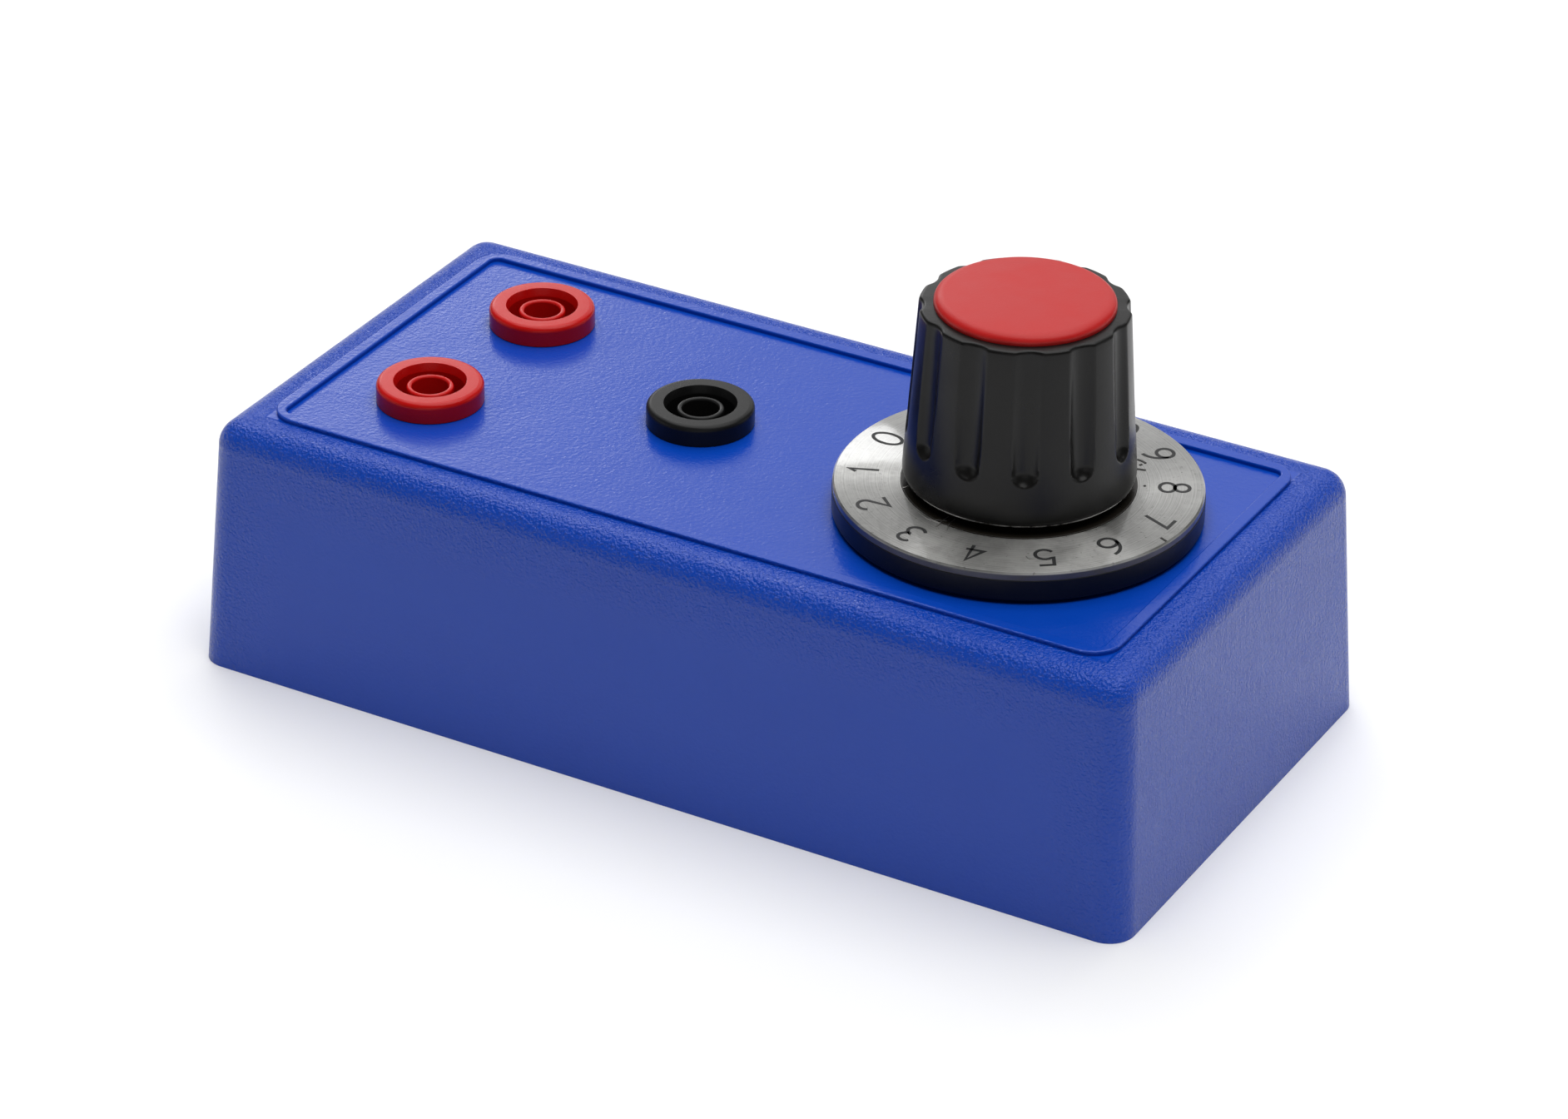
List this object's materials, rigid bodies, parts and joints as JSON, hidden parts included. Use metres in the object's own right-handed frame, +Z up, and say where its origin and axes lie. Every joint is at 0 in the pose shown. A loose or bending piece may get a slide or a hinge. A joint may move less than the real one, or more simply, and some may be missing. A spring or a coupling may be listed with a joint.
{
  "type": "rheostat",
  "caption": "Bench rheostat in a blue moulded case with 4 mm safety sockets and a fluted black knob with a red cap that turns a numbered metal dial.",
  "frame": {"origin": "centre of the case's rectangular underside, on the plane the case stands on", "axes": "+Z up, +X from the sockets towards the knob, +Y from the front long side to the back long side"},
  "size_m": [0.135, 0.0688, 0.0654],
  "materials": {
    "case_blue": "fine leather-grained moulding, satin",
    "base_black": "plain moulding, satin",
    "screw_steel": "zinc plated",
    "socket_red": "satin-gloss moulding",
    "socket_black": "satin-gloss moulding",
    "contact_brass": "nickel plated, lightly worn",
    "nut_metal": "nickel plated",
    "dial_metal": "spun, satin",
    "knob_black": "satin moulding",
    "cap_red": "satin moulding",
    "collet_brass": "turned",
    "shaft_steel": "ground",
    "ceramic_white": "unglazed",
    "winding_wire": "oxidised resistance wire",
    "terminal_brass": "tinned",
    "spring_bronze": "spring strip",
    "brush_graphite": "metal-graphite",
    "hub_insulator": "moulded phenolic",
    "wire_red": "soft insulation",
    "wire_black": "soft insulation"
  },
  "bodies": {
    "case": {"case_shell": "case_blue", "base_plate": "base_black", "base_screws": "screw_steel", "socket_body_red_back": "socket_red", "socket_body_red_front": "socket_red", "socket_body_black": "socket_black", "socket_contact_red_back": "contact_brass", "socket_contact_red_front": "contact_brass", "socket_contact_black": "contact_brass", "socket_nut_red_back": "nut_metal", "socket_nut_red_front": "nut_metal", "socket_nut_black": "nut_metal", "threaded_bush": "nut_metal", "lock_washer": "nut_metal", "mounting_nut": "nut_metal", "rheostat_base": "ceramic_white", "winding_core": "ceramic_white", "resistance_winding": "winding_wire", "end_terminal_back": "terminal_brass", "end_terminal_front": "terminal_brass", "wiper_collector": "terminal_brass", "wire_red_back": "wire_red", "wire_red_front": "wire_red", "wire_black": "wire_black"},
    "knob": {"knob_grip": "knob_black", "dial_skirt": "knob_black", "dial_ring": "dial_metal", "knob_cap": "cap_red", "knob_collet": "collet_brass", "collet_nut": "collet_brass", "shaft": "shaft_steel", "wiper_hub": "hub_insulator", "wiper_arm": "spring_bronze", "wiper_brush": "brush_graphite", "retaining_ring": "shaft_steel"}
  },
  "joints": [
    {"name": "knob_turn", "type": "hinge", "parent": "case", "child": "knob", "pos_m": [0.0342, 0, 0.0347], "axis": [0, 0, -1], "range_deg": [0, 262]}
  ]
}
